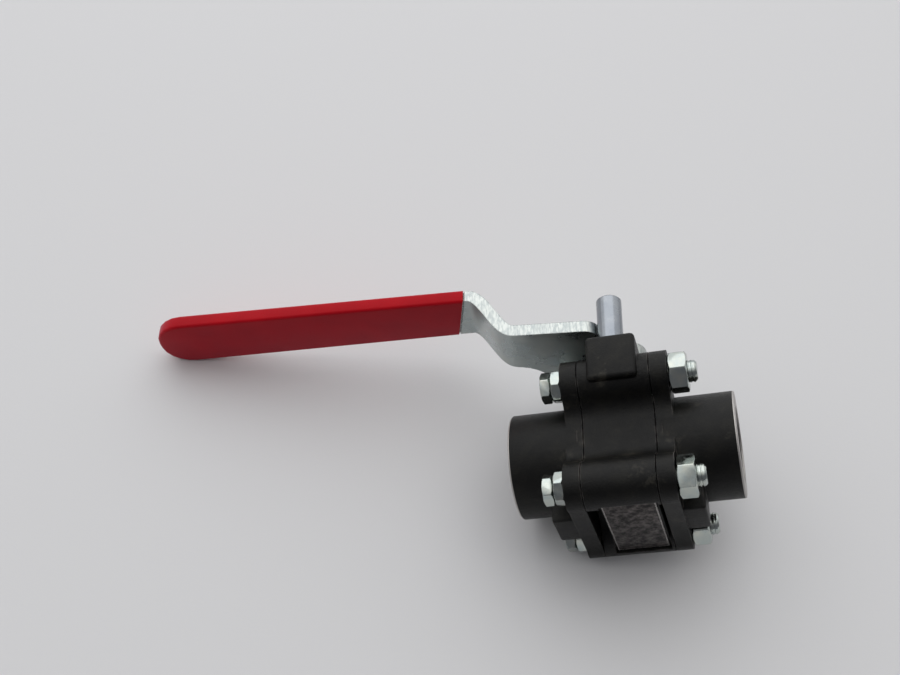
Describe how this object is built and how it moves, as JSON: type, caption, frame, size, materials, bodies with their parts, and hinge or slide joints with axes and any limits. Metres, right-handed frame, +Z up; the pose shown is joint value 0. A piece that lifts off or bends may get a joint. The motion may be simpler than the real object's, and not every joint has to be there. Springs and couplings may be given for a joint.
{
  "type": "ball valve",
  "caption": "Three-piece black steel ball valve with socket ends, plated bolts and a cranked lever with a red vinyl grip that turns the ball a quarter turn against a stop pin.",
  "frame": {"origin": "centre of the nameplate's face on the underside of the body, straight below the centre of the ball on the stem axis", "axes": "+Z up along the stem, +X along the pipe away from the lever arm, which lies back along -X when open, +Y to the side the lever closes towards; the stop pin is on the -Y side"},
  "size_m": [0.215, 0.0743, 0.0886],
  "materials": {
    "black_steel": "matte phosphate black",
    "zinc_fasteners": "bright zinc plate",
    "zinc_lever": "bright zinc plate on rolled plate",
    "stop_pin_steel": "turned bright",
    "red_vinyl": "dipped vinyl, satin gloss",
    "plate_metal": "worn dull metal",
    "white_seal": "waxy fluoropolymer",
    "stainless": "turned and polished"
  },
  "bodies": {
    "valve_body": {"centre_body": "black_steel", "end_cap_left": "black_steel", "end_cap_right": "black_steel", "seat_ring_left": "white_seal", "seat_ring_right": "white_seal", "body_seal_left": "white_seal", "body_seal_right": "white_seal", "stem_thrust_washer": "white_seal", "packing_ring_1": "white_seal", "packing_ring_2": "white_seal", "packing_ring_3": "white_seal", "gland_follower": "stainless", "spring_washer_1": "stainless", "spring_washer_2": "stainless", "stop_pin": "stop_pin_steel", "nameplate": "plate_metal", "body_bolt_1": "zinc_fasteners", "collar_nut_1": "zinc_fasteners", "bolt_nut_1": "zinc_fasteners", "body_bolt_2": "zinc_fasteners", "collar_nut_2": "zinc_fasteners", "bolt_nut_2": "zinc_fasteners", "body_bolt_3": "zinc_fasteners", "collar_nut_3": "zinc_fasteners", "bolt_nut_3": "zinc_fasteners", "body_bolt_4": "zinc_fasteners", "collar_nut_4": "zinc_fasteners", "bolt_nut_4": "zinc_fasteners"},
    "lever_and_stem": {"stem": "stainless", "gland_nut": "zinc_fasteners", "lever": "zinc_lever", "lever_grip": "red_vinyl", "lever_retaining_ring": "stainless"},
    "ball_body": {"ball": "stainless"}
  },
  "joints": [
    {"name": "lever_turn", "type": "hinge", "parent": "valve_body", "child": "lever_and_stem", "pos_m": [0, 0, 0.0277], "axis": [0, 0, 1], "range_deg": [-90, 0]},
    {"name": "ball_turn", "type": "hinge", "parent": "valve_body", "child": "ball_body", "pos_m": [0, 0, 0.0277], "axis": [0, 0, 1], "range_deg": [-90, 0]}
  ],
  "couplings": [
    {"joint": "ball_turn", "follows": "lever_turn", "ratio": 1}
  ]
}
